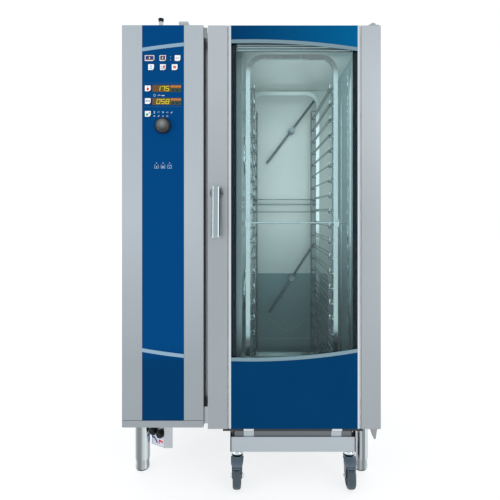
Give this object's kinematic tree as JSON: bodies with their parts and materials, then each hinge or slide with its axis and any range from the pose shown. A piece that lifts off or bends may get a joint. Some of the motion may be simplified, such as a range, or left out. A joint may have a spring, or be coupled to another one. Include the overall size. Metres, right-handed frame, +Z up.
{
  "type": "roll-in combi steamer oven",
  "caption": "Floor-standing roll-in combi steamer oven with a control column, tall hinged glass door, circulation fans, wash arms and a wheeled tray rack.",
  "frame": {"origin": "on the floor, under the middle of the whole object's box", "axes": "+Z up, the door and controls face -Y, the control column is on the -X side"},
  "size_m": [0.993, 0.957, 1.866],
  "materials": {
    "steel": "vertical brushed stainless steel",
    "liner_steel": "bright polished stainless steel",
    "frame_steel": "mill finish steel",
    "polished_steel": "polished stainless tube and rod",
    "trim": "satin anodised",
    "blue_panel": "smooth satin enamel",
    "blue_header": "smooth satin enamel",
    "blue_lower": "smooth satin enamel",
    "glass": "clear tempered glass, greenish",
    "display": "smoked amber window",
    "black_plastic": "moulded, fine grain",
    "key_plastic": "white key caps",
    "rubber": "silicone seal",
    "grey_plastic": "moulded foot glide",
    "caster_grey": "glass filled nylon",
    "dark_steel": "dark coated steel",
    "heater": "heat tinted sheath",
    "motor": "painted motor casing"
  },
  "bodies": {
    "cabinet": {"base_frame": "frame_steel", "left_side_panel": "steel", "right_side_panel": "steel", "back_panel": "steel", "top_panel": "steel", "column_inner_wall": "frame_steel", "cavity_liner": "liner_steel", "front_frame": "frame_steel", "door_gasket": "rubber", "fan_baffle": "liner_steel", "heating_elements": "heater", "fan_motors": "motor", "steam_generator": "steel", "column_fascia": "steel", "column_blue_panel": "blue_panel", "column_trims": "trim", "display_windows": "display", "roof_vents": "steel", "vent_cap": "black_plastic", "hinge_brackets": "frame_steel", "foot_tubes": "steel", "foot_glides": "grey_plastic", "water_box": "steel", "water_inlets": "black_plastic", "drain_pipe": "steel", "cable_gland": "black_plastic", "wash_arm_spindles": "polished_steel"},
    "selector_knob": {"selector_knob": "black_plastic"},
    "key_program": {"key_program": "key_plastic"},
    "key_humidity": {"key_humidity": "key_plastic"},
    "key_fan_speed": {"key_fan_speed": "key_plastic"},
    "key_steam": {"key_steam": "key_plastic"},
    "key_combi": {"key_combi": "key_plastic"},
    "key_hot_air": {"key_hot_air": "key_plastic"},
    "key_temperature": {"key_temperature": "key_plastic"},
    "key_time": {"key_time": "key_plastic"},
    "key_start": {"key_start": "key_plastic"},
    "fan_wheel_upper": {"fan_wheel_upper": "liner_steel"},
    "fan_wheel_lower": {"fan_wheel_lower": "liner_steel"},
    "wash_arm_upper": {"wash_arm_upper": "polished_steel"},
    "wash_arm_lower": {"wash_arm_lower": "polished_steel"},
    "door": {"door_frame": "steel", "door_header": "blue_header", "door_lower_panel": "blue_lower", "door_glass_outer": "glass", "door_glass_inner": "glass", "door_trims": "trim", "door_bottom_seal": "rubber", "door_drip_tray": "dark_steel"},
    "handle": {"door_handle": "polished_steel"},
    "trolley": {"rack_frames": "polished_steel", "rack_runners": "polished_steel", "drip_pan": "liner_steel", "trolley_base": "steel", "caster_mounts": "polished_steel"},
    "fork_left": {"caster_fork_left": "caster_grey"},
    "fork_right": {"caster_fork_right": "caster_grey"},
    "wheel_left": {"caster_wheel_left": "caster_grey"},
    "wheel_right": {"caster_wheel_right": "caster_grey"},
    "wheels_rear": {"rear_wheels": "caster_grey"}
  },
  "joints": [
    {"name": "door_hinge", "type": "hinge", "parent": "cabinet", "child": "door", "pos_m": [0.472, -0.4, 1], "axis": [0, 0, 1], "range_deg": [0, 110]},
    {"name": "handle_turn", "type": "hinge", "parent": "door", "child": "handle", "pos_m": [-0.131, -0.45, 1.15], "axis": [0, -1, 0], "range_deg": [0, 90]},
    {"name": "knob_turn", "type": "hinge", "parent": "cabinet", "child": "selector_knob", "pos_m": [-0.3384, -0.43, 1.4087], "axis": [0, -1, 0], "continuous": true},
    {"name": "press_program", "type": "slide", "parent": "cabinet", "child": "key_program", "axis": [0, 1, 0], "range_m": [0, 0.0012], "stiffness_N_per_m": 500},
    {"name": "press_humidity", "type": "slide", "parent": "cabinet", "child": "key_humidity", "axis": [0, 1, 0], "range_m": [0, 0.0012], "stiffness_N_per_m": 500},
    {"name": "press_fan_speed", "type": "slide", "parent": "cabinet", "child": "key_fan_speed", "axis": [0, 1, 0], "range_m": [0, 0.0012], "stiffness_N_per_m": 500},
    {"name": "press_steam", "type": "slide", "parent": "cabinet", "child": "key_steam", "axis": [0, 1, 0], "range_m": [0, 0.0012], "stiffness_N_per_m": 500},
    {"name": "press_combi", "type": "slide", "parent": "cabinet", "child": "key_combi", "axis": [0, 1, 0], "range_m": [0, 0.0012], "stiffness_N_per_m": 500},
    {"name": "press_hot_air", "type": "slide", "parent": "cabinet", "child": "key_hot_air", "axis": [0, 1, 0], "range_m": [0, 0.0012], "stiffness_N_per_m": 500},
    {"name": "press_temperature", "type": "slide", "parent": "cabinet", "child": "key_temperature", "axis": [0, 1, 0], "range_m": [0, 0.0012], "stiffness_N_per_m": 500},
    {"name": "press_time", "type": "slide", "parent": "cabinet", "child": "key_time", "axis": [0, 1, 0], "range_m": [0, 0.0012], "stiffness_N_per_m": 500},
    {"name": "press_start", "type": "slide", "parent": "cabinet", "child": "key_start", "axis": [0, 1, 0], "range_m": [0, 0.0012], "stiffness_N_per_m": 500},
    {"name": "fan_upper_spin", "type": "hinge", "parent": "cabinet", "child": "fan_wheel_upper", "pos_m": [-0.1, 0, 1.35], "axis": [1, 0, 0], "continuous": true},
    {"name": "fan_lower_spin", "type": "hinge", "parent": "cabinet", "child": "fan_wheel_lower", "pos_m": [-0.1, 0, 0.7], "axis": [1, 0, 0], "continuous": true},
    {"name": "wash_upper_spin", "type": "hinge", "parent": "cabinet", "child": "wash_arm_upper", "pos_m": [0.208, 0.285, 1.529], "axis": [0, -1, 0], "continuous": true},
    {"name": "wash_lower_spin", "type": "hinge", "parent": "cabinet", "child": "wash_arm_lower", "pos_m": [0.208, 0.285, 0.714], "axis": [0, -1, 0], "continuous": true},
    {"name": "trolley_roll", "type": "slide", "parent": "cabinet", "child": "trolley", "axis": [0, -1, 0], "range_m": [0, 0.01]},
    {"name": "fork_left_swivel", "type": "hinge", "parent": "trolley", "child": "fork_left", "pos_m": [-0.0565, -0.3655, 0.12], "axis": [0, 0, 1], "continuous": true},
    {"name": "fork_right_swivel", "type": "hinge", "parent": "trolley", "child": "fork_right", "pos_m": [0.3855, -0.3655, 0.12], "axis": [0, 0, 1], "continuous": true},
    {"name": "wheel_left_spin", "type": "hinge", "parent": "fork_left", "child": "wheel_left", "pos_m": [-0.0565, -0.3895, 0.048], "axis": [1, 0, 0], "continuous": true},
    {"name": "wheel_right_spin", "type": "hinge", "parent": "fork_right", "child": "wheel_right", "pos_m": [0.3855, -0.3895, 0.048], "axis": [1, 0, 0], "continuous": true},
    {"name": "wheels_rear_spin", "type": "hinge", "parent": "trolley", "child": "wheels_rear", "pos_m": [0.165, 0.19, 0.048], "axis": [1, 0, 0], "continuous": true}
  ]
}
